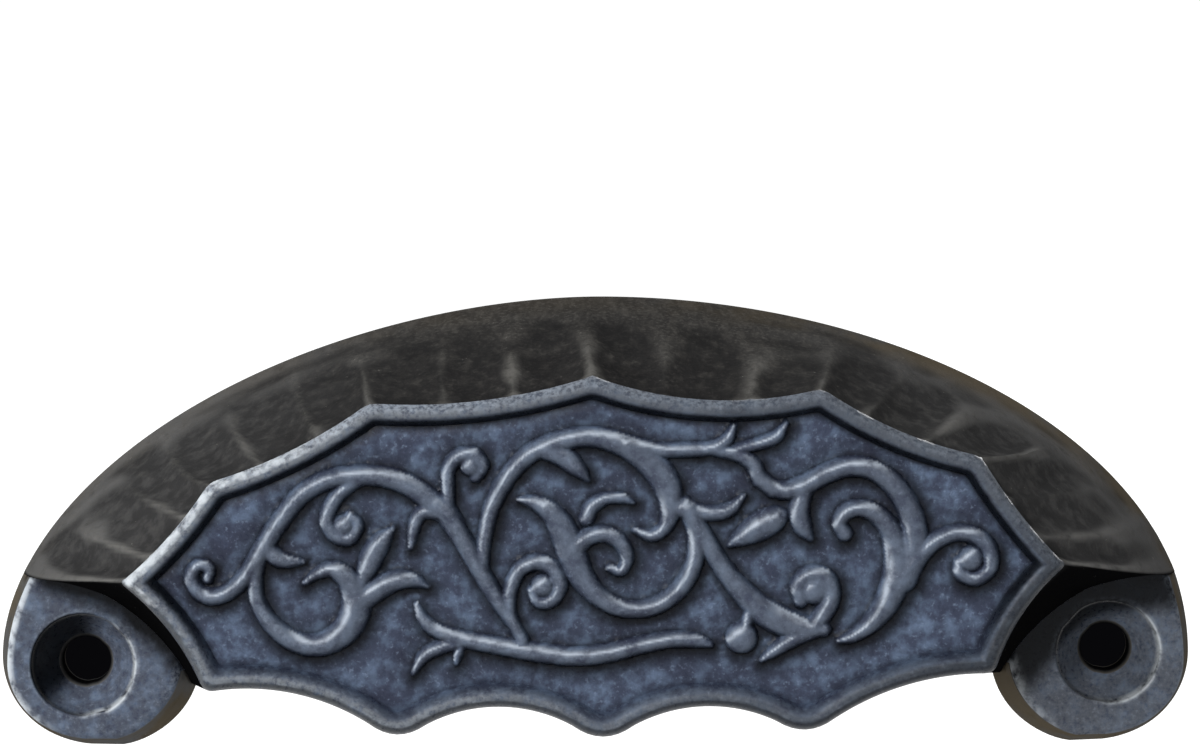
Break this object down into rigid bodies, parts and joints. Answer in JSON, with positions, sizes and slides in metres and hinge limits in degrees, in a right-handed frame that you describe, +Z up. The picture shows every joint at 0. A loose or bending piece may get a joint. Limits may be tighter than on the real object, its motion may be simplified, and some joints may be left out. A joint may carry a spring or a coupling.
{
  "type": "drawer cup pull",
  "caption": "Cast-iron cup pull for a drawer: hammered hood over a finger hollow, scalloped front panel with a carved vine scroll, and a countersunk screw lug at each lower corner.",
  "frame": {"origin": "midway between the two screw holes, on the plane of the drawer front", "axes": "+X along the drawer front, +Z up, +Y into the drawer front; the pull stands out towards -Y and its finger hollow opens downwards"},
  "size_m": [0.1124, 0.021, 0.0426],
  "materials": {
    "iron": "blackened, rubbed bright on the raised scroll and rim, dark in the recesses"
  },
  "bodies": {
    "root": {"cup_pull": "iron"}
  },
  "joints": []
}
